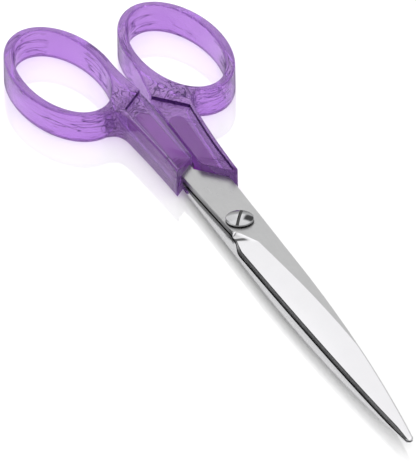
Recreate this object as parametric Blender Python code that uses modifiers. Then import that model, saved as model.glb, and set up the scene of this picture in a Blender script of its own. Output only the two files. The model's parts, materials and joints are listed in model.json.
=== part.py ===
"""Craft scissors: two ground steel blades, two clear moulded handles, a slotted pivot screw and its nut.

The scissors lie flat and closed. +Z is up, the points look along -Y and the finger loops lie at +Y.
The origin is the middle of the footprint, on the surface that the handles rest on.
The upper blade carries the handle at -X and turns about the pivot screw; the lower blade carries
the handle at +X. Lengths below are in millimetres, measured from the pivot axis, until they are built.
"""
import math

import bmesh
import bpy
import numpy as np
from mathutils import Matrix, Vector

MM = 0.001

# Overall
OVERALL_LENGTH = 203.2
TIP_REACH = 104.0                        # pivot axis to the blades' points
PIVOT_Y = TIP_REACH - OVERALL_LENGTH / 2
FIT_GAP = 0.3                            # space between pieces that touch
RUNNING_GAP = 0.08                       # radial play of the pivot

# Blades
BLADE_T = 1.25
MID_Z = 3.3                              # height of the plane the blades slide on
HALF_WIDTH = 5.49
TAPER_START = -28.0                      # where the back begins to curve to the point
BACK_PULL = ((3.4, -82.0), (5.35, -54.0))
TIP_HALF = 0.95
TIP_ROUND = 1.0                          # length of the rounded point
RICASSO_X = -3.9                        # unsharpened stretch beside the pivot
RICASSO_FRONT = -4.4
RICASSO_BACK = 2.0                       # where its side begins to slant towards the tang
CHOIL = (-3.85, -5.9)                   # small step where the cutting edge begins
BELLY = (-5.25, -12.5)                   # widest point of the cutting edge
EDGE_PULL = ((-3.05, -79.0), (-4.3, -45.0))
CHOIL_PULL = ((-5.2, -9.5), (-3.85, -8.0))
CHOIL_RISE = 0.6                         # choil's straight side and its chamfer
CHOIL_CHAMFER = 0.35
GRIND_END = -68.5                        # where the hollow grind reaches the back
GRIND_FULL = -10.7
GRIND_FLAT = 5.05                        # width left flat beside the back at GRIND_FULL
GRIND_POWER = 1.2                       # how fast that flat narrows towards GRIND_END
PLUNGE_POWER = 1.2                       # curve of the grind's end beside the pivot
GRIND_SLOPE = 0.145                      # steepest the hollow grind falls to the edge
BEVEL_WIDTH = 0.78                       # cutting bevel along the edge
BEVEL_SLOPE = 0.46
EDGE_T = 0.08                            # thickness left at the cutting edge
SHOULDER_RADIUS = 3.2
SHOULDER_GAP = 0.45                      # shoulder to the other handle's V-cut end
LAND = 0.15                              # narrowest flat kept along the back
BEVEL_SHARE = 0.3                        # most of the ground width that the bevel takes, at the point
STATION_STEP = 0.04                      # closest that two cross-sections lie

# Tangs
TANG_X = 3.1
TANG_SPLAY = 0.036
TANG_HALF = 2.0
TANG_START = 25.0
POCKET_LEAD = 24.0                       # the slot's cutter starts this far ahead of the tang
TANG_END_UPPER = 53.6
TANG_END_LOWER = 49.9

# Handles
LOOP_X = 15.0
LOOP_Y = 76.7
LOOP_HOLE = (10.2, 20.1)
LOOP_WALL = 2.4
HANDLE_H = 7.5
EDGE_ROUND = 0.5
INNER_X = 0.36                           # half the gap between the closed handles
NOTCH_SLOPE = 1.03                       # the V-cut front ends
NOTCH_Y_UPPER = 29.3
NOTCH_Y_LOWER = 24.9
INNER_END = 54.0                         # where the two handles part
WEB_PULL = ((INNER_X, 62.0), (2.4, 68.0))
CROOK_PULL = ((10.2, 54.9), (8.7, 53.5))
LOOP_LEAVES = -100                       # degrees round the loop where its outside turns into the shank
SHANK_OUTER = ((8.45, 49.0), (7.6, 38.0), (7.15, 30.0))
SHANK_FRONT_X = 7.0
SHANK_TOP = 6.5
FIELD_LENGTH = 32.5                      # V-cut corner to the step behind the flat field
RAIL = 0.95                              # raised border beside the field, on the outer side
CUT_CLEAR = 3.0                          # how far cutters pass beyond what they cut

# Pivot
PIVOT_R = 1.75
HEAD_R = 3.45
HEAD_RIM = 0.5
HEAD_DOME = 0.55
SLOT_WIDTH = 0.75
SLOT_DEPTH = 0.45
SLOT_ANGLE = math.radians(58)
NUT_R = 3.4
NUT_BOTTOM = 0.25
NUT_CHAMFER = 0.3
SCREW_RECESS = 0.1                       # screw's end above the nut's underside
ROUND_SIDES = 48
SHARP_ANGLE = math.radians(30)
WELD_DISTANCE = 1e-6

UPPER = -1                               # side of the handle on the upper blade
LOWER = 1


# ---------------------------------------------------------------- helpers
def clear_scene():
    for obj in list(bpy.data.objects):
        bpy.data.objects.remove(obj, do_unlink=True)


def new_collection(name):
    collection = bpy.data.collections.new(name)
    bpy.context.scene.collection.children.link(collection)
    return collection


def bezier(p0, p1, p2, p3, count):
    """Points on a cubic Bezier curve, both ends included."""
    t = np.linspace(0, 1, count)[:, None]
    p0, p1, p2, p3 = (np.array(p, float) for p in (p0, p1, p2, p3))
    return (1 - t) ** 3 * p0 + 3 * (1 - t) ** 2 * t * p1 + 3 * (1 - t) * t ** 2 * p2 + t ** 3 * p3


def ellipse(centre, radii, start, end, count):
    """Points on an ellipse from one angle to another, in degrees, both ends included."""
    angles = np.radians(np.linspace(start, end, count))
    x = centre[0] + radii[0] * np.cos(angles)
    y = centre[1] + radii[1] * np.sin(angles)
    return np.column_stack([x, y])


def mesh_object(name, bm, collection, material=None):
    bmesh.ops.recalc_face_normals(bm, faces=bm.faces)
    mesh = bpy.data.meshes.new(name)
    bm.to_mesh(mesh)
    bm.free()
    obj = bpy.data.objects.new(name, mesh)
    collection.objects.link(obj)
    if material:
        mesh.materials.append(material)
    return obj


def loft(name, rings, collection, material=None):
    """Closed solid through rings of points that all have the same count."""
    bm = bmesh.new()
    loops = [[bm.verts.new(Vector(p) * MM) for p in ring] for ring in rings]
    for first, second in zip(loops, loops[1:]):
        for i in range(len(first)):
            j = (i + 1) % len(first)
            bm.faces.new((first[i], first[j], second[j], second[i]))
    bm.faces.new(loops[0])
    bm.faces.new(loops[-1])
    return mesh_object(name, bm, collection, material)


def flat_outline(name, outlines, height, rounding, collection, material):
    """Solid slab with rounded rims from closed outlines; the second outline is a hole."""
    curve = bpy.data.curves.new(name, "CURVE")
    curve.dimensions = "2D"
    curve.fill_mode = "BOTH"
    curve.extrude = (height / 2 - rounding) * MM
    curve.bevel_depth = rounding * MM
    curve.bevel_resolution = 2
    curve.offset = -rounding * MM
    for outline in outlines:
        spline = curve.splines.new("POLY")
        spline.points.add(len(outline) - 1)
        for point, (x, y) in zip(spline.points, outline):
            point.co = (x * MM, y * MM, 0, 1)
        spline.use_cyclic_u = True
    source = bpy.data.objects.new(name + "_curve", curve)
    source.location.z = height / 2 * MM
    collection.objects.link(source)
    bpy.context.view_layer.update()
    evaluated = source.evaluated_get(bpy.context.evaluated_depsgraph_get())
    mesh = bpy.data.meshes.new_from_object(evaluated)
    bm = bmesh.new()
    bm.from_mesh(mesh)
    bmesh.ops.remove_doubles(bm, verts=bm.verts, dist=WELD_DISTANCE)
    obj = mesh_object(name, bm, collection, material)
    obj.matrix_world = source.matrix_world.copy()
    bpy.data.objects.remove(source, do_unlink=True)
    return obj


def turned(name, profile, collection, material=None):
    """Round solid about +Z through the pivot, from (radius, height) points, top to bottom."""
    bm = bmesh.new()
    verts = [bm.verts.new((r * MM, 0, z * MM)) for r, z in profile]
    for first, second in zip(verts, verts[1:]):
        bm.edges.new((first, second))
    mesh = bpy.data.meshes.new(name)
    bm.to_mesh(mesh)
    bm.free()
    obj = bpy.data.objects.new(name, mesh)
    collection.objects.link(obj)
    screw = obj.modifiers.new("turn", "SCREW")
    screw.axis = "Z"
    screw.angle = math.tau
    screw.steps = ROUND_SIDES
    screw.render_steps = ROUND_SIDES
    screw.use_merge_vertices = True
    screw.merge_threshold = WELD_DISTANCE
    screw.use_smooth_shade = True
    if material:
        mesh.materials.append(material)
    return obj


def make_cutter(obj):
    obj.hide_render = True
    obj.display_type = "WIRE"
    return obj


def cut(obj, cutter):
    boolean = obj.modifiers.new("cut_" + cutter.name, "BOOLEAN")
    boolean.operation = "DIFFERENCE"
    boolean.solver = "EXACT"
    boolean.object = cutter


def box_cutter(name, size, collection, matrix):
    bm = bmesh.new()
    bmesh.ops.create_cube(bm, size=1.0)
    bmesh.ops.scale(bm, vec=Vector(size) * MM, verts=bm.verts)
    bmesh.ops.transform(bm, matrix=matrix, verts=bm.verts)
    return make_cutter(mesh_object(name, bm, collection))


def round_cutter(name, radius, low, high, collection):
    bm = bmesh.new()
    bmesh.ops.create_cone(bm, cap_ends=True, segments=ROUND_SIDES, radius1=radius * MM,
                          radius2=radius * MM, depth=(high - low) * MM,
                          matrix=Matrix.Translation((0, 0, (low + high) / 2 * MM)))
    return make_cutter(mesh_object(name, bm, collection))


# -------------------------------------------------------------- materials
def new_material(name, colour, roughness, metallic=0.0):
    material = bpy.data.materials.new(name)
    material.use_nodes = True
    shader = material.node_tree.nodes["Principled BSDF"]
    shader.inputs["Base Color"].default_value = (*colour, 1.0)
    shader.inputs["Roughness"].default_value = roughness
    shader.inputs["Metallic"].default_value = metallic
    material.diffuse_color = (*colour, 1.0)
    return material


def clear_acrylic():
    material = new_material("handle_acrylic", (0.48, 0.24, 0.73), 0.05)
    shader = material.node_tree.nodes["Principled BSDF"]
    shader.inputs["Transmission Weight"].default_value = 0.9
    shader.inputs["IOR"].default_value = 1.49
    return material


def ground_steel():
    return new_material("blade_steel", (0.55, 0.55, 0.56), 0.25, 1.0)


def plated_steel():
    return new_material("pivot_steel", (0.62, 0.62, 0.63), 0.18, 1.0)


# ------------------------------------------------------------------ blades
def tang_centre(y):
    return -TANG_X - TANG_SPLAY * (y - TANG_START)


def notch_y(x, corner_y):
    """Front end of a handle at distance x from the centre line."""
    return corner_y - NOTCH_SLOPE * (x - INNER_X)


def back_outline(shoulder_corner, tang_end):
    """Right-hand outline of the upper blade, point to tang: (x, y) with y rising."""
    tip_y = TIP_ROUND - TIP_REACH
    tip = ellipse((0, tip_y), (TIP_HALF, TIP_ROUND), -75, 0, 6)
    back = bezier((TIP_HALF, tip_y), *BACK_PULL, (HALF_WIDTH, TAPER_START), 26)
    corner_y = notch_y(HALF_WIDTH, shoulder_corner)
    drop = SHOULDER_RADIUS / math.hypot(1, NOTCH_SLOPE)
    bend = (HALF_WIDTH, corner_y)
    after = (HALF_WIDTH - drop, corner_y + drop * NOTCH_SLOPE)
    shoulder = bezier((HALF_WIDTH, corner_y - SHOULDER_RADIUS), bend, bend, after, 9)
    root_y = shoulder_corner + NOTCH_SLOPE * (INNER_X - tang_centre(TANG_START) - TANG_HALF)
    neck = [(tang_centre(root_y) + TANG_HALF, root_y)]
    round_y = tang_end - TANG_HALF
    end = ellipse((tang_centre(round_y), round_y), (TANG_HALF, TANG_HALF), 0, 80, 8)
    return np.vstack([tip, back[1:], shoulder, neck, end])


def edge_outline(tang_end):
    """Left-hand outline of the upper blade, point to tang: the cutting edge and the ricasso."""
    tip_y = TIP_ROUND - TIP_REACH
    tip = ellipse((0, tip_y), (TIP_HALF, TIP_ROUND), -105, -180, 6)
    belly = bezier((-TIP_HALF, tip_y), *EDGE_PULL, BELLY, 26)
    choil = bezier(BELLY, *CHOIL_PULL, CHOIL, 7)
    front = [(CHOIL[0], RICASSO_FRONT - CHOIL_RISE), (RICASSO_X + CHOIL_CHAMFER, RICASSO_FRONT)]
    side = [(RICASSO_X, RICASSO_BACK), (tang_centre(TANG_START) - TANG_HALF, TANG_START)]
    round_y = tang_end - TANG_HALF
    end = ellipse((tang_centre(round_y), round_y), (TANG_HALF, TANG_HALF), 180, 100, 8)
    return np.vstack([tip, belly[1:], choil[1:], front, side, end])


def flat_width(y, whole):
    """Width of the unground flat beside the back."""
    if y >= RICASSO_FRONT:
        return whole
    if y >= GRIND_FULL:
        rise = (y - GRIND_FULL) / (RICASSO_FRONT - GRIND_FULL)
        return GRIND_FLAT + (whole - GRIND_FLAT) * rise ** PLUNGE_POWER
    if y <= GRIND_END:
        return 0.0
    return GRIND_FLAT * ((y - GRIND_END) / (GRIND_FULL - GRIND_END)) ** GRIND_POWER


def blade_section(y, edge_x, back_x):
    """Ring of (x, z) points over the inner face: flat, hollow grind and cutting bevel."""
    width = back_x - edge_x
    flat = max(LAND, flat_width(y, width - 4 * LAND))
    ground = width - flat
    if y >= RICASSO_FRONT:
        return [(edge_x, 0), (back_x, 0), (back_x, BLADE_T), (back_x - flat, BLADE_T),
                (edge_x + LAND, BLADE_T), (edge_x, BLADE_T)]
    grow = min(1.0, (RICASSO_FRONT - y) / (RICASSO_FRONT - GRIND_FULL))
    bevel = min(max(LAND, grow * BEVEL_WIDTH), ground * BEVEL_SHARE)
    bevel_top = EDGE_T + BEVEL_SLOPE * bevel
    back_top = BLADE_T if y > GRIND_END else min(BLADE_T, bevel_top + GRIND_SLOPE * (ground - bevel))
    return [(edge_x, 0), (back_x, 0), (back_x, back_top), (back_x - flat, back_top),
            (edge_x + bevel, bevel_top), (edge_x, EDGE_T)]


def blade_stations(side):
    """(y, edge x, back x) along the upper-blade form that the given side has, point to tang."""
    other_notch = NOTCH_Y_LOWER if side == UPPER else NOTCH_Y_UPPER
    tang_end = TANG_END_UPPER if side == UPPER else TANG_END_LOWER
    back = back_outline(other_notch - SHOULDER_GAP, tang_end)
    edge = edge_outline(tang_end)
    plunge = np.linspace(GRIND_FULL, RICASSO_FRONT, 9)
    stations = np.unique(np.round(np.concatenate([back[:, 1], edge[:, 1], plunge]), 2))
    stations = stations[np.concatenate([[True], np.diff(stations) > STATION_STEP])]
    edge_x = np.interp(stations, edge[:, 1], edge[:, 0])
    back_x = np.interp(stations, back[:, 1], back[:, 0])
    return list(zip(stations, edge_x, back_x))


def place_half(rings, side):
    """Upper form as drawn; the lower one is the same form turned over about the long axis."""
    face = MID_Z - side * FIT_GAP / 2
    return [[(-side * x, y, face - side * z) for x, y, z in ring] for ring in rings]


def blade(name, side, collection, cutters, material):
    rings = [[(x, y, z) for x, z in blade_section(y, edge_x, back_x)]
             for y, edge_x, back_x in blade_stations(side)]
    obj = loft(name, place_half(rings, side), collection, material)
    hole = PIVOT_R + RUNNING_GAP
    cut(obj, round_cutter(name + "_hole", hole, -CUT_CLEAR, HANDLE_H + CUT_CLEAR, cutters))
    return obj


# ----------------------------------------------------------------- handles
def handle_outline(notch_corner):
    """Outer outline of the handle at +X, from the V-cut corner round the loop and back."""
    outer = (LOOP_HOLE[0] + LOOP_WALL, LOOP_HOLE[1] + LOOP_WALL)
    inner_side = [(INNER_X, notch_corner)]
    web = bezier((INNER_X, INNER_END), *WEB_PULL, (LOOP_X - outer[0], LOOP_Y), 10)
    loop = ellipse((LOOP_X, LOOP_Y), outer, 180, LOOP_LEAVES, 57)
    crook = bezier(loop[-1], *CROOK_PULL, SHANK_OUTER[0], 8)
    front = [(SHANK_FRONT_X, notch_y(SHANK_FRONT_X, notch_corner))]
    return np.vstack([inner_side, web, loop[1:], crook[1:], SHANK_OUTER[1:], front])


def tang_pocket(name, side, cutters):
    """Slot that the tang and its neck sit in: their own form, grown by the fitting gap."""
    rings = []
    for y, edge_x, back_x in blade_stations(side):
        if y > TANG_START - POCKET_LEAD:
            low_x, high_x = edge_x - FIT_GAP, back_x + FIT_GAP
            corners = ((low_x, -FIT_GAP), (high_x, -FIT_GAP), (high_x, BLADE_T + FIT_GAP),
                       (low_x, BLADE_T + FIT_GAP))
            rings.append([(x, y + SHOULDER_GAP, z) for x, z in corners])
    return make_cutter(loft(name, place_half(rings, side), cutters))


def field_cutter(name, side, notch_corner, cutters):
    """Lowers the shank's top to the flat field, up to a step parallel to the V-cut end."""
    step = notch_corner + FIELD_LENGTH
    rail = [(x - RAIL, y) for x, y in SHANK_OUTER[::-1]]
    ends = (SHANK_FRONT_X - RAIL, -CUT_CLEAR)
    plan = [(ends[1], 0), (ends[0], 0)] + rail
    plan += [(rail[-1][0], notch_y(rail[-1][0], step)), (ends[1], notch_y(ends[1], step))]
    rings = [[(side * x, y, z) for x, y in plan] for z in (SHANK_TOP, HANDLE_H + CUT_CLEAR)]
    return make_cutter(loft(name, rings, cutters))


def handle(name, side, collection, cutters, material):
    notch_corner = NOTCH_Y_UPPER if side == UPPER else NOTCH_Y_LOWER
    outline = handle_outline(notch_corner) * (side, 1)
    hole = ellipse((side * LOOP_X, LOOP_Y), LOOP_HOLE, 0, 354, 60)
    obj = flat_outline(name, (outline, hole), HANDLE_H, EDGE_ROUND, collection, material)
    cut(obj, field_cutter(name + "_field", side, notch_corner, cutters))
    cut(obj, tang_pocket(name + "_pocket", side, cutters))
    obj.data.shade_smooth()
    obj.data.set_sharp_from_angle(angle=SHARP_ANGLE)
    return obj


# ------------------------------------------------------------------- pivot
def pivot_screw(collection, cutters, material):
    under_head = MID_Z + FIT_GAP / 2 + BLADE_T + FIT_GAP
    top = under_head + HEAD_RIM + HEAD_DOME
    ball = (HEAD_DOME ** 2 + HEAD_R ** 2) / (2 * HEAD_DOME)
    reach = math.asin(HEAD_R / ball)
    dome = [(ball * math.sin(a), top - ball * (1 - math.cos(a))) for a in np.linspace(0, reach, 7)]
    end = NUT_BOTTOM + SCREW_RECESS
    shank = [(HEAD_R, under_head), (PIVOT_R, under_head), (PIVOT_R, end), (0, end)]
    obj = turned("pivot_screw", dome + shank, collection, material)
    size = (2 * HEAD_R + CUT_CLEAR, SLOT_WIDTH, CUT_CLEAR)
    lift = Matrix.Translation((0, 0, (top - SLOT_DEPTH + size[2] / 2) * MM))
    cut(obj, box_cutter("screw_slot", size, cutters, lift @ Matrix.Rotation(SLOT_ANGLE, 4, "Z")))
    return obj


def pivot_nut(collection, material):
    top = MID_Z - FIT_GAP / 2 - BLADE_T - FIT_GAP
    bore = PIVOT_R + RUNNING_GAP
    profile = [(bore, top), (NUT_R, top), (NUT_R, NUT_BOTTOM + NUT_CHAMFER),
               (NUT_R - NUT_CHAMFER, NUT_BOTTOM), (bore, NUT_BOTTOM), (bore, top)]
    return turned("pivot_nut", profile, collection, material)


# ---------------------------------------------------------------- assembly
def turning_point(name, collection):
    empty = bpy.data.objects.new(name, None)
    empty.location = (0, PIVOT_Y * MM, 0)
    collection.objects.link(empty)
    return empty


def main():
    clear_scene()
    parts = new_collection("craft_scissors")
    cutters = new_collection("cutters")
    acrylic, steel, plated = clear_acrylic(), ground_steel(), plated_steel()
    upper_pivot = turning_point("upper_half", parts)
    lower_pivot = turning_point("lower_half", parts)
    upper = [blade("upper_blade", UPPER, parts, cutters, steel),
             handle("upper_handle", UPPER, parts, cutters, acrylic)]
    lower = [blade("lower_blade", LOWER, parts, cutters, steel),
             handle("lower_handle", LOWER, parts, cutters, acrylic),
             pivot_screw(parts, cutters, plated),
             pivot_nut(parts, plated)]
    for obj in upper:
        obj.parent = upper_pivot
    for obj in lower + list(cutters.objects):
        obj.parent = lower_pivot
    bpy.context.view_layer.update()


main()
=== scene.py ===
"""Looks of the craft scissors: clear purple handles, ground steel blades and a slotted pivot screw.

Every visible piece is rebuilt here at fine resolution in the place its CAD solid holds.
Lengths are in millimetres from the pivot axis (x, y) and from the floor (z), built in metres.
"""
import json
import math

import bmesh
import bpy
import numpy as np
from mathutils import Matrix, Vector


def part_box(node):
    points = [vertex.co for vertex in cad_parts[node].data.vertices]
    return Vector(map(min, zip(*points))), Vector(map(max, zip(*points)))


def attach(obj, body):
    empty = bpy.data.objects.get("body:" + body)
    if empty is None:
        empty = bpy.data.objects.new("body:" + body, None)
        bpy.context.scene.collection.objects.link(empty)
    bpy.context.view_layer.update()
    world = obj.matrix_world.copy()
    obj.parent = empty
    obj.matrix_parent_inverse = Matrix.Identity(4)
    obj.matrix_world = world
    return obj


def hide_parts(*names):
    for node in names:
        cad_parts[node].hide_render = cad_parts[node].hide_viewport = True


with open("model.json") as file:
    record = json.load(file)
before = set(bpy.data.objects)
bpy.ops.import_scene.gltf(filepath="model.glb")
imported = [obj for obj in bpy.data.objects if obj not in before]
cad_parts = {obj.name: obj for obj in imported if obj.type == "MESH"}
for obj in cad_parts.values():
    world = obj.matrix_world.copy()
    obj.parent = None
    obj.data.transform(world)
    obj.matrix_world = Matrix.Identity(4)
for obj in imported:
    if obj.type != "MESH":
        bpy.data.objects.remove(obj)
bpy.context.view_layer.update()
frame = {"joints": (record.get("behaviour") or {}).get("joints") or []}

MM = 0.001
UPPER, LOWER = -1, 1                     # side of the handle on each blade
BODY = {UPPER: "upper_half", LOWER: "lower_half"}

# ------------------------------------------------------------ frame's sizes
PIVOT = Vector(frame["joints"][0]["pos_m"])
PIVOT_Y = PIVOT.y / MM
MID_Z = PIVOT.z / MM
BLADE_BOX = {UPPER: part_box("upper_blade"), LOWER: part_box("lower_blade")}
HANDLE_BOX = {UPPER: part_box("upper_handle"), LOWER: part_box("lower_handle")}
SCREW_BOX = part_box("pivot_screw")
NUT_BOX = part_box("pivot_nut")

TIP_Y = BLADE_BOX[UPPER][0].y / MM - PIVOT_Y - 0.03   # the rounded point stops 0.03 short of it
BLADE_T = (BLADE_BOX[UPPER][1].z - BLADE_BOX[UPPER][0].z) / MM
FACE_GAP = BLADE_BOX[UPPER][0].z / MM - MID_Z
HALF_WIDTH = BLADE_BOX[UPPER][1].x / MM
TANG_END = {side: box[1].y / MM - PIVOT_Y for side, box in BLADE_BOX.items()}
HANDLE_H = HANDLE_BOX[LOWER][1].z / MM
INNER_X = HANDLE_BOX[LOWER][0].x / MM
LOOP_END = HANDLE_BOX[LOWER][1].y / MM - PIVOT_Y
LOOP_OUT = HANDLE_BOX[LOWER][1].x / MM

# ------------------------------------------------------------ blade shape
TAPER_START = -28.0                      # where the back begins to curve to the point
BACK_PULL = ((3.4, -82.0), (5.35, -54.0))
TIP_HALF = 0.95
TIP_ROUND = 1.0                          # length of the rounded point
RICASSO_X = -3.9                         # unsharpened stretch beside the pivot
RICASSO_FRONT = -4.4
RICASSO_BACK = 2.0                       # where its side begins to slant towards the tang
CHOIL = (-3.85, -5.9)                    # small step where the cutting edge begins
CHOIL_PULL = ((-5.2, -9.5), (-3.85, -8.0))
CHOIL_CHAMFER = (0.35, 0.4)
BELLY = (-5.25, -12.5)                   # widest point of the cutting edge
EDGE_PULL = ((-3.05, -79.0), (-4.3, -45.0))
GRIND_END = -68.5                        # where the hollow grind reaches the back
GRIND_FULL = -10.7
GRIND_FLAT = 5.05                        # width left flat beside the back at GRIND_FULL
GRIND_POWER = 1.2                        # how fast that flat narrows towards GRIND_END
PLUNGE_POWER = 1.2                       # curve of the grind's end beside the pivot
GRIND_SLOPE = 0.145                      # steepest the hollow grind falls to the edge
STRIP_WIDTH = 0.78                       # cutting bevel along the edge
STRIP_LEAST = 0.1
STRIP_SHARE = 0.3                        # most of the ground width that the bevel takes
HOLLOW = 0.05                            # depth of the hollow under its chord, share of its width
HOLLOW_STEPS = 8
EDGE_SLOPE = 0.46
EDGE_T = 0.06                            # thickness left at the cutting edge
CHAMFER = 0.11
CHAMFER_SHARE = 0.1                      # most of a narrow blade's width that a chamfer takes
TANG_CHAMFER = 0.3
BEVEL_LINE_WIDTH = 0.14                        # painted shade: dark line on each side of the bevel
SHOULDER_RADIUS = 3.2
SHOULDER_GAP = 0.45                      # shoulder to the other handle's V-cut end
TANG_X = 3.1
TANG_SPLAY = 0.036
TANG_HALF = 2.0
TANG_START = 25.0
STATION_STEP = 0.015                     # closest that two cross-sections lie
PLUNGE_STATIONS = 30

# ----------------------------------------------------------- handle shape
LOOP_RADII = (12.6, 22.5)
LOOP_WALL = 2.4
LOOP_X = LOOP_OUT - LOOP_RADII[0]
LOOP_Y = LOOP_END - LOOP_RADII[1]
LOOP_LEAVES = -100                       # degrees round the loop where its outside turns into the shank
INNER_END = 54.0                         # where the two handles part
WEB_PULL = ((INNER_X, 62.0), (LOOP_X - LOOP_RADII[0], 68.0))
CROOK_PULL = ((10.2, 54.9), (8.7, 53.5))
NOTCH_SLOPE = 1.03                       # the V-cut front ends
NOTCH_Y = {UPPER: 29.3, LOWER: 24.9}
SHANK_OUTER = ((8.45, 49.0), (7.6, 38.0), (7.15, 30.0))
SHANK_FRONT_X = 7.0
SHANK_TOP = 6.5
FIELD_LENGTH = 32.5                      # V-cut corner to the step behind the flat field
FIELD_INNER = -3.0                       # the field's cutter passes the inner side
FIELD_FRONT = 10.0                       # and the front end
RAIL = 0.95                              # raised border left along the shank's outer side
RIM = 0.5                                # rounding of the outline's edges
RIM_STEPS = 6
FIELD_SOFTENING = 0.14                   # rounding of the field's edges
WELD = (6.5, 57.5)                       # where loop and shank flow together
WELD_REACH = (4.5, 8.5)
SWIRL_SCALE = (0.24, 0.17, 0.24)
SWIRL_TURNS = 20.0
FLOW_SCALE = (0.55, 1.1, 0.45)           # flow lines: round the loop, across it, up

# ------------------------------------------------------------------- pivot
PIVOT_R = 1.75
RUNNING_GAP = 0.08                       # radial play of the pivot
HEAD_R = (SCREW_BOX[1].x - SCREW_BOX[0].x) / 2 / MM
HEAD_TOP = SCREW_BOX[1].z / MM
SCREW_END = SCREW_BOX[0].z / MM
HEAD_RIM = 0.5                           # height of the head's cylindrical side
HEAD_DOME = 0.55                         # rise of the dome over it
HEAD_EDGE = 0.12
SLOT_WIDTH = 0.75
SLOT_DEPTH = 0.45
SLOT_ANGLE = math.radians(58)
NUT_R = (NUT_BOX[1].x - NUT_BOX[0].x) / 2 / MM
NUT_TOP = NUT_BOX[1].z / MM
NUT_BOTTOM = NUT_BOX[0].z / MM
NUT_ROUND = 0.3

# ------------------------------------------------------- colours and finish
ACRYLIC_DEEP, ACRYLIC_LIGHT = (0.46, 0.24, 0.66), (0.53, 0.30, 0.73)
STEP_SHADE_DEEP, STEP_SHADE_LIGHT = (0.05, 0.012, 0.14), (0.09, 0.02, 0.20)      # painted shade: dark purple on the walls round the flat field
FLOW_MARK = (0.03, 0.005, 0.08)
ACRYLIC_CLEAR = 0.80                     # share that is clear; the rest scatters light
ACRYLIC_IOR = 1.49
ACRYLIC_TINT = (0.5, 0.2, 0.7, 1)        # of the light reflected straight back
ACRYLIC_EDGE_SHADE = (0.05, 0.012, 0.11)       # painted shade: dark colour mixed in along the outlines, at a grazing angle
ACRYLIC_SHADE = (0.97, 0.93, 0.99)       # tint of the light that passes to the floor
ACRYLIC_DEPTH = (0.55, 0.18, 0.72)       # colour that the absorption lets through
ACRYLIC_DENSITY = 15.0                   # absorption per metre
# painted shade: dark purple of the tang where the moulding covers it
TANG_SHADE_DEEP, TANG_SHADE_LIGHT = (0.20, 0.02, 0.26), (0.32, 0.05, 0.38)
TANG_SHADE_FADE = (0.3, 0.55)                 # where behind the V-cut end the tang's painted shade begins and is full
FLOOR_DARK, FLOOR_LIGHT = (0.93, 0.93, 0.93), (0.95, 0.95, 0.95)
FLOOR_ROUGHNESS = 0.05
FLOOR_GLOSS = 0.18                       # share of the mirror-like layer
FLOOR_HALF = 3000
SATIN, POLISH, HONED, DARK = range(4)    # the blades' material slots; DARK is near-black steel for painted shade

# ------------------------------------------------------------------- stage
VIEW_AZIMUTH = math.radians(-21.97)
VIEW_ELEVATION = math.radians(32.0)
VIEW_ROLL = math.radians(0.85)
VIEW_DISTANCE = 3.121
VIEW_TARGET = Vector((-6.44, 4.49 + PIVOT_Y, 0)) * MM
VIEW_LENS = 1002.3
TENT_STRENGTH = 3.0
# brightness of the tent by height, and across the cards beyond the loops, as (position, level)
ROOF = ((0.0, 0.06), (0.08, 0.14), (0.30, 0.26), (0.53, 0.42), (0.75, 0.54), (0.90, 0.50), (1.0, 0.42))
CARDS = ((0.0, 0.34), (0.28, 0.38), (0.32, 0.07), (0.44, 0.07), (0.48, 0.45), (0.62, 0.46), (0.67, 0.54),
         (0.74, 0.56), (0.78, 0.44), (0.81, 0.04), (1.0, 0.04))
# how much the cards count, by height and by how far round to the loops' side
CARD_HEIGHT = ((0.36, 0.0), (0.44, 1.0), (0.70, 1.0), (0.78, 0.0))
CARD_FACING = ((0.30, 0.0), (0.45, 1.0))


# ---------------------------------------------------------------- helpers
def bezier(p0, p1, p2, p3, count):
    t = np.linspace(0, 1, count)[:, None]
    p0, p1, p2, p3 = (np.array(p, float) for p in (p0, p1, p2, p3))
    return (1 - t) ** 3 * p0 + 3 * (1 - t) ** 2 * t * p1 + 3 * (1 - t) * t ** 2 * p2 + t ** 3 * p3


def ellipse(centre, radii, start, end, count):
    angles = np.radians(np.linspace(start, end, count))
    return np.column_stack([centre[0] + radii[0] * np.cos(angles),
                            centre[1] + radii[1] * np.sin(angles)])


def line(start, end, count):
    t = np.linspace(0, 1, count)[:, None]
    return (1 - t) * np.array(start, float) + t * np.array(end, float)


def finish_mesh(name, bm, materials, place=True):
    """Object from a bmesh in millimetres about the pivot."""
    if place:
        bmesh.ops.translate(bm, vec=(0, PIVOT_Y, 0), verts=bm.verts)
    bmesh.ops.scale(bm, vec=(MM, MM, MM), verts=bm.verts)
    bmesh.ops.recalc_face_normals(bm, faces=bm.faces)
    mesh = bpy.data.meshes.new(name)
    bm.to_mesh(mesh)
    bm.free()
    for material in materials:
        mesh.materials.append(material)
    obj = bpy.data.objects.new(name, mesh)
    bpy.context.scene.collection.objects.link(obj)
    return obj


def apply_modifiers(obj):
    bpy.context.view_layer.update()
    evaluated = obj.evaluated_get(bpy.context.evaluated_depsgraph_get())
    mesh = bpy.data.meshes.new_from_object(evaluated)
    obj.modifiers.clear()
    obj.data = mesh
    return obj


def cut(obj, cutter):
    boolean = obj.modifiers.new("cut", "BOOLEAN")
    boolean.operation = "DIFFERENCE"
    boolean.solver = "EXACT"
    boolean.object = cutter
    apply_modifiers(obj)
    bpy.data.objects.remove(cutter, do_unlink=True)


def soften(obj, width, segments=2, angle=28):
    bevel = obj.modifiers.new("soften", "BEVEL")
    bevel.width = width * MM
    bevel.segments = segments
    bevel.limit_method = "ANGLE"
    bevel.angle_limit = math.radians(angle)
    bevel.harden_normals = False
    apply_modifiers(obj)


def smooth(obj, angle=30):
    obj.data.shade_smooth()
    obj.data.set_sharp_from_angle(angle=math.radians(angle))


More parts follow.
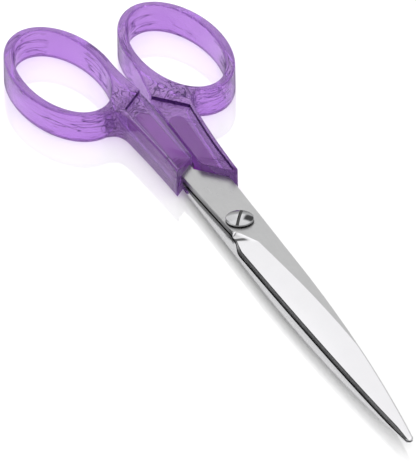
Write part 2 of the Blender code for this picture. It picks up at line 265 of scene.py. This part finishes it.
# -------------------------------------------------------------- materials
class Nodes:
    """Short way to write a node tree."""

    def __init__(self, name):
        self.material = bpy.data.materials.new(name)
        self.material.use_nodes = True
        self.tree = self.material.node_tree
        self.shader = self.tree.nodes["Principled BSDF"]
        self.output = self.tree.nodes["Material Output"]

    def add(self, kind, **settings):
        node = self.tree.nodes.new(kind)
        for key, value in settings.items():
            setattr(node, key, value)
        return node

    def link(self, source, target):
        self.tree.links.new(source, target)

    def value(self, name, value):
        self.shader.inputs[name].default_value = value

    def place(self, scale):
        """Object coordinates in millimetres, stretched by scale."""
        where = self.add("ShaderNodeTexCoord")
        mapping = self.add("ShaderNodeMapping")
        mapping.inputs["Scale"].default_value = [s / MM for s in scale]
        self.link(where.outputs["Object"], mapping.inputs["Vector"])
        return mapping.outputs["Vector"]

    def noise(self, vector, detail=3.0, roughness=0.55):
        noise = self.add("ShaderNodeTexNoise")
        noise.inputs["Scale"].default_value = 1.0
        noise.inputs["Detail"].default_value = detail
        noise.inputs["Roughness"].default_value = roughness
        self.link(vector, noise.inputs["Vector"])
        return noise.outputs["Fac"]

    def ramp(self, source, low, high, to_low, to_high):
        node = self.add("ShaderNodeMapRange")
        node.inputs["From Min"].default_value = low
        node.inputs["From Max"].default_value = high
        node.inputs["To Min"].default_value = to_low
        node.inputs["To Max"].default_value = to_high
        self.link(source, node.inputs["Value"])
        return node.outputs["Result"]

    def mix_colour(self, factor, first, second):
        node = self.add("ShaderNodeMix", data_type="RGBA")
        node.inputs["A"].default_value = (*first, 1)
        node.inputs["B"].default_value = (*second, 1)
        self.link(factor, node.inputs["Factor"])
        return node.outputs["Result"]

    def math(self, operation, first, second=0.0):
        node = self.add("ShaderNodeMath", operation=operation)
        for socket, source in zip(node.inputs, (first, second)):
            if isinstance(source, float):
                socket.default_value = source
            else:
                self.link(source, socket)
        return node.outputs[0]

    def length(self, first, second):
        """Length of the arrow with these two parts."""
        squares = [self.math("MULTIPLY", part, part) for part in (first, second)]
        return self.math("SQRT", self.math("ADD", *squares))

    def millimetres(self):
        """Object coordinates in millimetres as three sockets."""
        split = self.add("ShaderNodeSeparateXYZ")
        self.link(self.place((1, 1, 1)), split.inputs[0])
        return split.outputs

    def bump(self, height, distance, strength, previous=None):
        node = self.add("ShaderNodeBump")
        node.inputs["Distance"].default_value = distance * MM
        node.inputs["Strength"].default_value = strength
        self.link(height, node.inputs["Height"])
        if previous is not None:
            self.link(previous, node.inputs["Normal"])
        return node.outputs["Normal"]


def covered(n, side):
    """1 where the handle's moulding lies over its blade, 0 ahead of its V-cut end."""
    x, y, _ = n.millimetres()
    corner = NOTCH_Y[side] + NOTCH_SLOPE * INNER_X + PIVOT_Y
    slant = n.math("MULTIPLY", x, side * NOTCH_SLOPE)
    return n.ramp(n.math("ADD", y, slant), corner + TANG_SHADE_FADE[0], corner + TANG_SHADE_FADE[1], 0.0, 1.0)


def steel(name, dark, light, roughness, grain_scale, grain, scratch, tang_side=None):
    """Ground steel: grain along the stretch of grain_scale, faint stains and a few scratches; with
    tang_side, painted shade turns the tang dark purple under the moulding.
    """
    n = Nodes(name)
    n.value("Metallic", 1.0)
    lines = n.noise(n.place(grain_scale), 5.0, 0.6)
    cloud = n.noise(n.place((0.16, 0.16, 0.16)), 5.0, 0.72)
    scratches = n.ramp(n.noise(n.place((3.1, 0.11, 3.1)), 1.0, 0.4), 0.69, 0.74, 0.0, 1.0)
    colour = n.mix_colour(cloud, dark, light)
    # painted shade: where the moulding covers the tang, its colour turns dark purple
    if tang_side is not None:
        tang_shade = n.add("ShaderNodeMix", data_type="RGBA")
        n.link(covered(n, tang_side), tang_shade.inputs["Factor"])
        n.link(colour, tang_shade.inputs["A"])
        n.link(n.mix_colour(cloud, TANG_SHADE_DEEP, TANG_SHADE_LIGHT), tang_shade.inputs["B"])
        colour = tang_shade.outputs["Result"]
    n.link(colour, n.shader.inputs["Base Color"])
    rough = n.math("ADD", n.ramp(cloud, 0.3, 0.7, roughness[0], roughness[1]),
                   n.ramp(lines, 0.35, 0.65, -0.03, 0.03))
    n.link(rough, n.shader.inputs["Roughness"])
    first = n.bump(lines, 0.012, grain)
    n.link(n.bump(scratches, 0.01, scratch, first), n.shader.inputs["Normal"])
    return n.material


def contour(n, source, level, width):
    """Thin line where a noise passes a level."""
    return n.ramp(n.math("ABSOLUTE", n.math("SUBTRACT", source, level)), 0.0, width, 1.0, 0.0)


def flow_lines(n):
    """Fine lines that run round the finger loops, left by the flow in the mould."""
    x, y, z = n.millimetres()
    across = n.math("SUBTRACT", n.math("ABSOLUTE", x), LOOP_X)
    along = n.math("SUBTRACT", y, LOOP_Y + PIVOT_Y)
    tall = n.math("MULTIPLY", along, LOOP_RADII[0] / LOOP_RADII[1])
    angle = n.math("ARCTAN2", tall, across)
    radius = n.length(across, tall)
    where = n.add("ShaderNodeCombineXYZ")
    for socket, source, scale in zip(where.inputs, (angle, radius, z), FLOW_SCALE):
        n.link(n.math("MULTIPLY", source, scale), socket)
    patches = n.ramp(n.noise(n.place((0.06, 0.06, 0.06)), 1.0, 0.5), 0.47, 0.53, 0.0, 1.0)
    return n.math("MULTIPLY", contour(n, n.noise(where.outputs[0], 2.0, 0.5), 0.5, 0.018), patches)


def swirls(n):
    """Curled lines where the two flows meet between loop and shank."""
    x, y, _ = n.millimetres()
    across = n.math("SUBTRACT", n.math("ABSOLUTE", x), WELD[0])
    along = n.math("SUBTRACT", y, WELD[1] + PIVOT_Y)
    near = n.ramp(n.length(across, along), WELD_REACH[0], WELD_REACH[1], 1.0, 0.0)
    noise = n.add("ShaderNodeTexNoise")
    noise.inputs["Scale"].default_value = 1.0
    noise.inputs["Detail"].default_value = 1.0
    noise.inputs["Distortion"].default_value = 1.3
    n.link(n.place(SWIRL_SCALE), noise.inputs["Vector"])
    turns = n.math("SINE", n.math("MULTIPLY", noise.outputs["Fac"], SWIRL_TURNS))
    return n.math("MULTIPLY", near, n.ramp(n.math("ABSOLUTE", turns), 0.10, 0.50, 1.0, 0.0))


def acrylic(name, deep, light):
    """Clear purple moulding: flow lines, weld swirls, hairline scratches and painted dark outlines at
    grazing angles; light passes to the floor.
    """
    n = Nodes(name)
    n.value("Transmission Weight", ACRYLIC_CLEAR)
    n.value("IOR", ACRYLIC_IOR)
    n.value("Specular Tint", ACRYLIC_TINT)
    flow = n.noise(n.place((0.22, 0.07, 0.3)), 2.0, 0.5)
    handling = n.noise(n.place((0.9, 0.35, 0.9)), 5.0, 0.65)
    body = n.mix_colour(flow, deep, light)
    marks = n.math("MAXIMUM", flow_lines(n), swirls(n))
    marked = n.add("ShaderNodeMix", data_type="RGBA")
    n.link(marks, marked.inputs["Factor"])
    n.link(body, marked.inputs["A"])
    marked.inputs["B"].default_value = (*FLOW_MARK, 1)
    n.link(marked.outputs["Result"], n.shader.inputs["Base Color"])
    n.link(n.ramp(handling, 0.45, 0.75, 0.01, 0.05), n.shader.inputs["Roughness"])
    hairs = n.ramp(n.noise(n.place((2.4, 0.3, 2.4)), 1.0, 0.4), 0.68, 0.74, 0.0, 1.0)
    waves = n.bump(flow, 0.30, 0.10)
    lines = n.bump(marks, 0.12, 0.8, waves)
    n.link(n.bump(hairs, 0.01, 0.1, lines), n.shader.inputs["Normal"])
    # painted shade: a dark diffuse layer mixed in where the surface is seen at a grazing angle, drawing
    # dark outlines
    graze = n.add("ShaderNodeLayerWeight")
    graze.inputs["Blend"].default_value = 0.5
    edge_shade = n.add("ShaderNodeBsdfDiffuse")
    edge_shade.inputs["Color"].default_value = (*ACRYLIC_EDGE_SHADE, 1)
    outline = n.add("ShaderNodeMixShader")
    n.link(n.ramp(graze.outputs["Facing"], 0.74, 0.97, 0.0, 0.9), outline.inputs[0])
    n.link(n.shader.outputs[0], outline.inputs[1])
    n.link(edge_shade.outputs[0], outline.inputs[2])
    clear = n.add("ShaderNodeBsdfTransparent")
    clear.inputs["Color"].default_value = (*ACRYLIC_SHADE, 1)
    path = n.add("ShaderNodeLightPath")
    mix = n.add("ShaderNodeMixShader")
    n.link(path.outputs["Is Shadow Ray"], mix.inputs[0])
    n.link(outline.outputs[0], mix.inputs[1])
    n.link(clear.outputs[0], mix.inputs[2])
    n.link(mix.outputs[0], n.output.inputs["Surface"])
    depth = n.add("ShaderNodeVolumeAbsorption")
    depth.inputs["Color"].default_value = (*ACRYLIC_DEPTH, 1)
    depth.inputs["Density"].default_value = ACRYLIC_DENSITY
    n.link(depth.outputs[0], n.output.inputs["Volume"])
    return n.material


def gloss_floor():
    """Pale floor with a faint, slightly blurred reflection."""
    n = Nodes("floor_gloss")
    n.tree.nodes.remove(n.shader)
    cloud = n.noise(n.place((0.012, 0.012, 0.012)), 3.0, 0.5)
    matt = n.add("ShaderNodeBsdfDiffuse")
    n.link(n.mix_colour(cloud, FLOOR_DARK, FLOOR_LIGHT), matt.inputs["Color"])
    gloss = n.add("ShaderNodeBsdfGlossy")
    gloss.inputs["Roughness"].default_value = FLOOR_ROUGHNESS
    mix = n.add("ShaderNodeMixShader")
    mix.inputs[0].default_value = FLOOR_GLOSS
    n.link(matt.outputs[0], mix.inputs[1])
    n.link(gloss.outputs[0], mix.inputs[2])
    n.link(mix.outputs[0], n.output.inputs["Surface"])
    return n.material


# ------------------------------------------------------------------ blades
def tang_centre(y):
    """Middle of the upper blade's tang, which splays outwards."""
    return -TANG_X - TANG_SPLAY * (y - TANG_START)


def notch_y(x, corner_y):
    """The V-cut front end of a handle at x."""
    return corner_y - NOTCH_SLOPE * (x - INNER_X)


def back_outline(shoulder_corner, tang_end):
    """Back of the upper blade, point to tang."""
    tip = ellipse((0, TIP_Y + TIP_ROUND), (TIP_HALF, TIP_ROUND), -75, 0, 14)
    back = bezier((TIP_HALF, TIP_Y + TIP_ROUND), *BACK_PULL, (HALF_WIDTH, TAPER_START), 90)
    corner_y = notch_y(HALF_WIDTH, shoulder_corner)
    drop = SHOULDER_RADIUS / math.hypot(1, NOTCH_SLOPE)
    bend = (HALF_WIDTH, corner_y)
    after = (HALF_WIDTH - drop, corner_y + drop * NOTCH_SLOPE)
    straight = line((HALF_WIDTH, TAPER_START), (HALF_WIDTH, corner_y - SHOULDER_RADIUS), 16)
    shoulder = bezier((HALF_WIDTH, corner_y - SHOULDER_RADIUS), bend, bend, after, 24)
    root_y = shoulder_corner + NOTCH_SLOPE * (INNER_X - tang_centre(TANG_START) - TANG_HALF)
    neck = [(tang_centre(root_y) + TANG_HALF, root_y)]
    round_y = tang_end - TANG_HALF
    end = ellipse((tang_centre(round_y), round_y), (TANG_HALF, TANG_HALF), 0, 84, 20)
    return np.vstack([tip, back[1:], straight[1:], shoulder[1:], neck, end])


def edge_outline(tang_end):
    """Cutting edge, ricasso and tang of the upper blade, point to tang."""
    tip = ellipse((0, TIP_Y + TIP_ROUND), (TIP_HALF, TIP_ROUND), -105, -180, 14)
    belly = bezier((-TIP_HALF, TIP_Y + TIP_ROUND), *EDGE_PULL, BELLY, 90)
    choil = bezier(BELLY, *CHOIL_PULL, CHOIL, 24)
    front = bezier(CHOIL, (CHOIL[0], RICASSO_FRONT - 0.2), (CHOIL[0], RICASSO_FRONT),
                   (RICASSO_X + CHOIL_CHAMFER[0], RICASSO_FRONT + CHOIL_CHAMFER[1]), 10)
    side = [(RICASSO_X, RICASSO_BACK), (tang_centre(TANG_START) - TANG_HALF, TANG_START)]
    round_y = tang_end - TANG_HALF
    end = ellipse((tang_centre(round_y), round_y), (TANG_HALF, TANG_HALF), 180, 96, 20)
    return np.vstack([tip, belly[1:], choil[1:], front[1:], side, end])


def flat_width(y, whole):
    """Width of the satin flat beside the back."""
    if y >= RICASSO_FRONT:
        return whole
    if y >= GRIND_FULL:
        rise = (y - GRIND_FULL) / (RICASSO_FRONT - GRIND_FULL)
        return GRIND_FLAT + (whole - GRIND_FLAT) * rise ** PLUNGE_POWER
    if y <= GRIND_END:
        return 0.0
    return GRIND_FLAT * ((y - GRIND_END) / (GRIND_FULL - GRIND_END)) ** GRIND_POWER


def blade_section(y, edge_x, back_x, tang):
    """Ring of (x, z) over the inner face; the same count of points at every station."""
    width = back_x - edge_x
    soft = min(TANG_CHAMFER if tang else CHAMFER, width * CHAMFER_SHARE)
    least = 3 * soft
    flat = max(least, flat_width(y, width - 3 * least))
    ground = width - flat
    if y >= RICASSO_FRONT:
        ring = [(edge_x, 0.0), (back_x, 0.0), (back_x, BLADE_T - soft), (back_x - soft, BLADE_T)]
        start, end = back_x - flat, edge_x + least
        ring += [(start + (end - start) * t, BLADE_T) for t in np.linspace(0, 1, HOLLOW_STEPS + 1)]
        return ring + [(edge_x + 2 * soft, BLADE_T), (edge_x + soft, BLADE_T), (edge_x, BLADE_T - soft)]
    grow = min(1.0, (RICASSO_FRONT - y) / (RICASSO_FRONT - GRIND_FULL))
    strip = min(max(STRIP_LEAST, grow * STRIP_WIDTH), ground * STRIP_SHARE)
    top_strip = EDGE_T + EDGE_SLOPE * strip
    rise = min(BLADE_T - top_strip, GRIND_SLOPE * (ground - strip))
    if y > GRIND_END:
        rise = BLADE_T - top_strip
    top_flat = top_strip + rise
    hollow = HOLLOW * rise
    ring = [(edge_x, 0.0), (back_x, 0.0), (back_x, top_flat - soft), (back_x - soft, top_flat)]
    start, end = back_x - flat, edge_x + strip
    for t in np.linspace(0, 1, HOLLOW_STEPS + 1):
        sag = 4 * hollow * t * (1 - t)
        ring.append((start + (end - start) * t, top_flat - rise * t - sag))
    line_width = min(BEVEL_LINE_WIDTH, strip / 4)
    ring += [(end - line_width, top_strip - EDGE_SLOPE * line_width), (edge_x + line_width, EDGE_T + EDGE_SLOPE * line_width)]
    return ring + [(edge_x, EDGE_T)]


SIDE, TOP_EDGE, FLAT, POLISHED, BEVEL_LINE, STRIP, EDGE_SIDE, INNER = range(8)
ZONES = [INNER, SIDE, TOP_EDGE, FLAT] + [POLISHED] * HOLLOW_STEPS + [BEVEL_LINE, STRIP, BEVEL_LINE, EDGE_SIDE]


def zone_finish(zone, y, finish, corner):
    """Satin beside the pivot and on the tang, with a rim of painted shade where the moulding covers it."""
    if y < RICASSO_FRONT:
        return finish
    rim_left = corner - NOTCH_SLOPE * (-RICASSO_X - INNER_X)
    if zone in (BEVEL_LINE, EDGE_SIDE) and y > rim_left + 1:
        return DARK if zone == EDGE_SIDE else SATIN
    if zone in (TOP_EDGE, SIDE) and y > corner:
        return DARK
    if zone == INNER and y > rim_left:
        return SATIN
    return SATIN if zone in (POLISHED, BEVEL_LINE, STRIP) else finish


def blade_mesh(name, side, materials):
    """Loft through the sections; each zone takes its own finish."""
    finish = {SIDE: POLISH, TOP_EDGE: POLISH, FLAT: SATIN, POLISHED: POLISH, BEVEL_LINE: DARK, STRIP: HONED,
              EDGE_SIDE: SATIN, INNER: HONED}
    back = back_outline(NOTCH_Y[-side] - SHOULDER_GAP, TANG_END[side])
    edge = edge_outline(TANG_END[side])
    ease = np.sin(np.linspace(0, math.pi / 2, PLUNGE_STATIONS))
    plunge = GRIND_FULL + (RICASSO_FRONT - GRIND_FULL) * ease
    stations = np.unique(np.round(np.concatenate([back[:, 1], edge[:, 1], plunge]), 3))
    stations = stations[np.concatenate([[True], np.diff(stations) > STATION_STEP])]
    edge_x = np.interp(stations, edge[:, 1], edge[:, 0])
    back_x = np.interp(stations, back[:, 1], back[:, 0])
    face = MID_Z - side * FACE_GAP
    bm = bmesh.new()
    rings = []
    for y, low, high in zip(stations, edge_x, back_x):
        section = blade_section(y, low, high, y > NOTCH_Y[side])
        rings.append([bm.verts.new((-side * x, y, face - side * z)) for x, z in section])
    for y, first, second in zip(stations, rings, rings[1:]):
        for i, zone in enumerate(ZONES):
            j = (i + 1) % len(first)
            quad = bm.faces.new((first[i], first[j], second[j], second[i]))
            quad.material_index = zone_finish(zone, y, finish[zone], NOTCH_Y[side])
            quad.smooth = True
    bm.faces.new(rings[0])
    bm.faces.new(rings[-1])
    crease = {0, 1, 2, 3, 4, 4 + HOLLOW_STEPS, 7 + HOLLOW_STEPS}
    for first, second in zip(rings, rings[1:]):
        for i in crease:
            bm.edges.get((first[i], second[i])).smooth = False
    return finish_mesh(name, bm, materials)


def pivot_hole():
    bm = bmesh.new()
    bmesh.ops.create_cone(bm, cap_ends=True, segments=96, depth=20,
                          radius1=PIVOT_R + RUNNING_GAP, radius2=PIVOT_R + RUNNING_GAP)
    return finish_mesh("pivot_hole", bm, ())


def make_blade(side, materials):
    node = "upper_blade" if side == UPPER else "lower_blade"
    obj = blade_mesh(node + "_steel", side, materials)
    cut(obj, pivot_hole())
    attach(obj, BODY[side])
    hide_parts(node)
    return obj


# ----------------------------------------------------------------- handles
def handle_outline(corner):
    """Outer outline of the handle at +X."""
    web = bezier((INNER_X, INNER_END), *WEB_PULL, (LOOP_X - LOOP_RADII[0], LOOP_Y), 30)
    inner = line((INNER_X, corner), (INNER_X, INNER_END), 12)
    loop = ellipse((LOOP_X, LOOP_Y), LOOP_RADII, 180, LOOP_LEAVES, 200)
    crook = bezier(loop[-1], *CROOK_PULL, SHANK_OUTER[0], 24)
    front_y = notch_y(SHANK_FRONT_X, corner)
    outer = bezier(*SHANK_OUTER, (SHANK_FRONT_X, front_y), 20)
    return np.vstack([inner, web[1:], loop[1:], crook[1:], outer[1:]])


def slab(name, outlines, height, rounding, steps):
    """Flat piece of this height between the outlines, with rounded edges."""
    curve = bpy.data.curves.new(name, "CURVE")
    curve.dimensions = "2D"
    curve.fill_mode = "BOTH"
    curve.extrude = (height / 2 - rounding) * MM
    curve.bevel_depth = rounding * MM
    curve.bevel_resolution = steps
    curve.offset = -rounding * MM
    for outline in outlines:
        spline = curve.splines.new("POLY")
        spline.points.add(len(outline) - 1)
        for point, (x, y) in zip(spline.points, outline):
            point.co = (x * MM, (y + PIVOT_Y) * MM, 0, 1)
        spline.use_cyclic_u = True
    source = bpy.data.objects.new(name + "_curve", curve)
    source.location.z = height / 2 * MM
    bpy.context.scene.collection.objects.link(source)
    bpy.context.view_layer.update()
    evaluated = source.evaluated_get(bpy.context.evaluated_depsgraph_get())
    bm = bmesh.new()
    bm.from_mesh(bpy.data.meshes.new_from_object(evaluated))
    bmesh.ops.remove_doubles(bm, verts=bm.verts, dist=1e-6)
    bmesh.ops.translate(bm, vec=(0, 0, height / 2 * MM), verts=bm.verts)
    bmesh.ops.recalc_face_normals(bm, faces=bm.faces)
    mesh = bpy.data.meshes.new(name)
    bm.to_mesh(mesh)
    bm.free()
    bpy.data.objects.remove(source, do_unlink=True)
    obj = bpy.data.objects.new(name, mesh)
    bpy.context.scene.collection.objects.link(obj)
    return obj


def field_cutter(side):
    """Block that lowers the shank's top to the flat field and leaves a rail along its outer side."""
    step = NOTCH_Y[side] + FIELD_LENGTH
    rail = [(x - RAIL, y) for x, y in SHANK_OUTER]
    outer_x = SHANK_OUTER[0][0] - RAIL + 0.1
    plan = [(FIELD_INNER, FIELD_FRONT), (SHANK_FRONT_X - RAIL, FIELD_FRONT), rail[2], rail[1], rail[0],
            (outer_x, notch_y(outer_x, step)), (FIELD_INNER, notch_y(FIELD_INNER, step))]
    bm = bmesh.new()
    low = [bm.verts.new((side * x, y, SHANK_TOP)) for x, y in plan]
    high = [bm.verts.new((side * x, y, HANDLE_H + 2)) for x, y in plan]
    bm.faces.new(low)
    bm.faces.new(high)
    for i in range(len(plan)):
        j = (i + 1) % len(plan)
        # the cut walls of the field take slot 1: purple with painted shade
        bm.faces.new((low[i], low[j], high[j], high[i])).material_index = 1
    return finish_mesh("field_cutter", bm, ())


def make_handle(side, materials):
    node = "upper_handle" if side == UPPER else "lower_handle"
    outline = handle_outline(NOTCH_Y[side]) * (side, 1)
    hole_radii = (LOOP_RADII[0] - LOOP_WALL, LOOP_RADII[1] - LOOP_WALL)
    hole = ellipse((side * LOOP_X, LOOP_Y), hole_radii, 0, 358, 180)
    obj = slab(node + "_acrylic", (outline, hole), HANDLE_H, RIM, RIM_STEPS)
    for material in materials:
        obj.data.materials.append(material)
    cut(obj, field_cutter(side))
    soften(obj, FIELD_SOFTENING)
    smooth(obj)
    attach(obj, BODY[side])
    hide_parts(node)
    return obj


# ------------------------------------------------------------------- pivot
def turned(name, profile, materials, sides=128):
    """Round piece from (radius, height) points that close on the pivot axis or on themselves."""
    bm = bmesh.new()
    verts = [bm.verts.new((r, 0, z)) for r, z in profile]
    edges = [bm.edges.new(pair) for pair in zip(verts, verts[1:])]
    bmesh.ops.spin(bm, geom=verts + edges, cent=(0, 0, 0), axis=(0, 0, 1), angle=math.tau,
                   steps=sides, use_merge=True)
    bmesh.ops.remove_doubles(bm, verts=bm.verts, dist=1e-4)
    return finish_mesh(name, bm, materials)


def make_screw(materials):
    rim = HEAD_TOP - HEAD_DOME
    under = rim - HEAD_RIM
    ball = (HEAD_DOME ** 2 + HEAD_R ** 2) / (2 * HEAD_DOME)
    reach = math.asin((HEAD_R - HEAD_EDGE) / ball)
    dome = [(ball * math.sin(a), HEAD_TOP - ball * (1 - math.cos(a))) for a in np.linspace(0.01, reach, 30)]
    side = [(HEAD_R, rim - HEAD_EDGE), (HEAD_R, under + HEAD_EDGE / 2), (HEAD_R - HEAD_EDGE / 2, under),
            (PIVOT_R, under)]
    foot = [(PIVOT_R, SCREW_END + HEAD_EDGE), (PIVOT_R - HEAD_EDGE, SCREW_END), (0, SCREW_END)]
    obj = turned("pivot_screw_steel", [(0, HEAD_TOP)] + dome + side + foot, materials)
    bm = bmesh.new()
    bmesh.ops.create_cube(bm, size=1.0)
    bmesh.ops.scale(bm, vec=(2 * HEAD_R + 2, SLOT_WIDTH, 2), verts=bm.verts)
    bmesh.ops.transform(bm, matrix=Matrix.Translation((0, 0, HEAD_TOP - SLOT_DEPTH + 1))
                        @ Matrix.Rotation(SLOT_ANGLE, 4, "Z"), verts=bm.verts)
    cut(obj, finish_mesh("slot_cutter", bm, ()))
    # painted shade: the slot's walls take slot 1, the near-black steel
    across = Vector((-math.sin(SLOT_ANGLE), math.cos(SLOT_ANGLE), 0))
    for face in obj.data.polygons:
        centre = face.center / MM - Vector((0, PIVOT_Y, 0))
        inside = abs(centre.dot(across)) < SLOT_WIDTH / 2 + 0.01
        if inside and rim - 0.2 < centre.z < HEAD_TOP - SLOT_DEPTH / 3:
            face.material_index = 1
    soften(obj, 0.05, 2, 35)
    smooth(obj)
    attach(obj, BODY[LOWER])
    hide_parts("pivot_screw")
    return obj


def make_nut(material):
    bore = PIVOT_R + RUNNING_GAP
    inset, lift = NUT_R - NUT_ROUND, NUT_BOTTOM + NUT_ROUND
    round_edge = [(inset + NUT_ROUND * math.sin(a), lift - NUT_ROUND * math.cos(a))
                  for a in np.linspace(math.pi / 2, 0, 8)]
    top = [(bore, NUT_TOP), (NUT_R - 0.1, NUT_TOP), (NUT_R, NUT_TOP - 0.1)]
    profile = top + round_edge + [(bore + 0.1, NUT_BOTTOM), (bore, NUT_BOTTOM + 0.1), (bore, NUT_TOP)]
    obj = turned("pivot_nut_steel", profile, (material,))
    smooth(obj)
    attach(obj, BODY[LOWER])
    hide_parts("pivot_nut")
    return obj


# ------------------------------------------------------------------- stage
def make_camera():
    a, e = VIEW_AZIMUTH, VIEW_ELEVATION
    back = Vector((math.sin(a) * math.cos(e), -math.cos(a) * math.cos(e), math.sin(e)))
    right = Vector((math.cos(a), math.sin(a), 0))
    up = back.cross(right)
    turn = Matrix((right, up, back)).transposed().to_4x4()
    data = bpy.data.cameras.new("camera")
    data.lens = VIEW_LENS
    data.sensor_width = 36
    data.clip_end = 20
    camera = bpy.data.objects.new("camera", data)
    roll = Matrix.Rotation(-VIEW_ROLL, 4, "Z")
    camera.matrix_world = Matrix.Translation(VIEW_TARGET + back * VIEW_DISTANCE) @ turn @ roll
    bpy.context.scene.collection.objects.link(camera)
    bpy.context.scene.camera = camera


def make_floor(material):
    bm = bmesh.new()
    bmesh.ops.create_grid(bm, x_segments=8, y_segments=8, size=FLOOR_HALF)
    floor = finish_mesh("floor", bm, (material,))


def ramp_node(tree, source, stops):
    """Grey levels from a source, by (position, level) stops."""
    ramp = tree.nodes.new("ShaderNodeValToRGB")
    while len(ramp.color_ramp.elements) < len(stops):
        ramp.color_ramp.elements.new(0.5)
    for element, (position, level) in zip(ramp.color_ramp.elements, stops):
        element.position = position
        element.color = (level, level, level, 1)
    tree.links.new(source, ramp.inputs[0])
    return ramp.outputs["Color"]


def math_node(tree, operation, first, second):
    node = tree.nodes.new("ShaderNodeMath")
    node.operation = operation
    for socket, source in zip(node.inputs, (first, second)):
        if isinstance(source, float):
            socket.default_value = source
        else:
            tree.links.new(source, socket)
    return node.outputs[0]


def make_world():
    """Studio tent: white roof, dark horizon, and black cards beyond the loops and at the right."""
    world = bpy.data.worlds.new("studio")
    bpy.context.scene.world = world
    world.use_nodes = True
    tree = world.node_tree
    tree.nodes.clear()
    where = tree.nodes.new("ShaderNodeTexCoord")
    split = tree.nodes.new("ShaderNodeSeparateXYZ")
    tree.links.new(where.outputs["Generated"], split.inputs[0])
    x, y, z = split.outputs
    roof = ramp_node(tree, z, ROOF)
    front = math_node(tree, "MAXIMUM", y, 0.05)
    across = math_node(tree, "ADD", math_node(tree, "DIVIDE", x, front), 1.0)
    across = math_node(tree, "MULTIPLY", across, 0.5)
    cards = ramp_node(tree, across, CARDS)
    height = ramp_node(tree, z, CARD_HEIGHT)
    facing = ramp_node(tree, y, CARD_FACING)
    window = math_node(tree, "MULTIPLY", height, facing)
    shade = tree.nodes.new("ShaderNodeMix")
    shade.data_type = "RGBA"
    tree.links.new(window, shade.inputs["Factor"])
    tree.links.new(roof, shade.inputs["A"])
    tree.links.new(cards, shade.inputs["B"])
    studio = tree.nodes.new("ShaderNodeBackground")
    studio.inputs["Strength"].default_value = TENT_STRENGTH
    tree.links.new(shade.outputs["Result"], studio.inputs["Color"])
    output = tree.nodes.new("ShaderNodeOutputWorld")
    tree.links.new(studio.outputs[0], output.inputs["Surface"])


def make_stage():
    make_camera()
    make_world()
    make_floor(gloss_floor())
    scene = bpy.context.scene
    scene.view_settings.view_transform = "Standard"
    scene.cycles.max_bounces = 20
    scene.cycles.transmission_bounces = 20
    scene.cycles.glossy_bounces = 8
    scene.cycles.transparent_max_bounces = 16


def main():
    make_stage()
    polished = steel("polished_steel", dark=(0.61, 0.605, 0.62), light=(0.65, 0.645, 0.66),
                     roughness=(0.08, 0.12), grain_scale=(0.35, 5.0, 0.35), grain=0.10, scratch=0.12)
    honed = steel("honed_steel", dark=(0.33, 0.33, 0.34), light=(0.43, 0.43, 0.44),
                  roughness=(0.12, 0.20), grain_scale=(0.6, 9.0, 0.6), grain=0.45, scratch=0.2)
    # near-black steel: painted shade in the screw's slot, on the tang's rims and along the bevel
    shade_steel = steel("painted_shade_steel", dark=(0.03, 0.03, 0.03), light=(0.06, 0.06, 0.06),
                       roughness=(0.25, 0.35), grain_scale=(1.2, 1.2, 1.2), grain=0.2, scratch=0.1)
    plated = steel("plated_steel", dark=(0.36, 0.36, 0.37), light=(0.48, 0.48, 0.49),
                   roughness=(0.06, 0.12), grain_scale=(2.0, 2.0, 2.0), grain=0.15, scratch=0.3)
    purple = acrylic("purple_acrylic", ACRYLIC_DEEP, ACRYLIC_LIGHT)
    step = acrylic("purple_step_painted_shade", STEP_SHADE_DEEP, STEP_SHADE_LIGHT)
    for side in (UPPER, LOWER):
        satin = steel("satin_steel", dark=(0.31, 0.31, 0.315), light=(0.45, 0.45, 0.45),
                      roughness=(0.28, 0.35), grain_scale=(4.5, 0.25, 4.5), grain=0.5, scratch=0.25,
                      tang_side=side)
        make_blade(side, (satin, polished, honed, shade_steel))
        make_handle(side, (purple, step))
    make_screw((plated, shade_steel))
    make_nut(plated)


main()
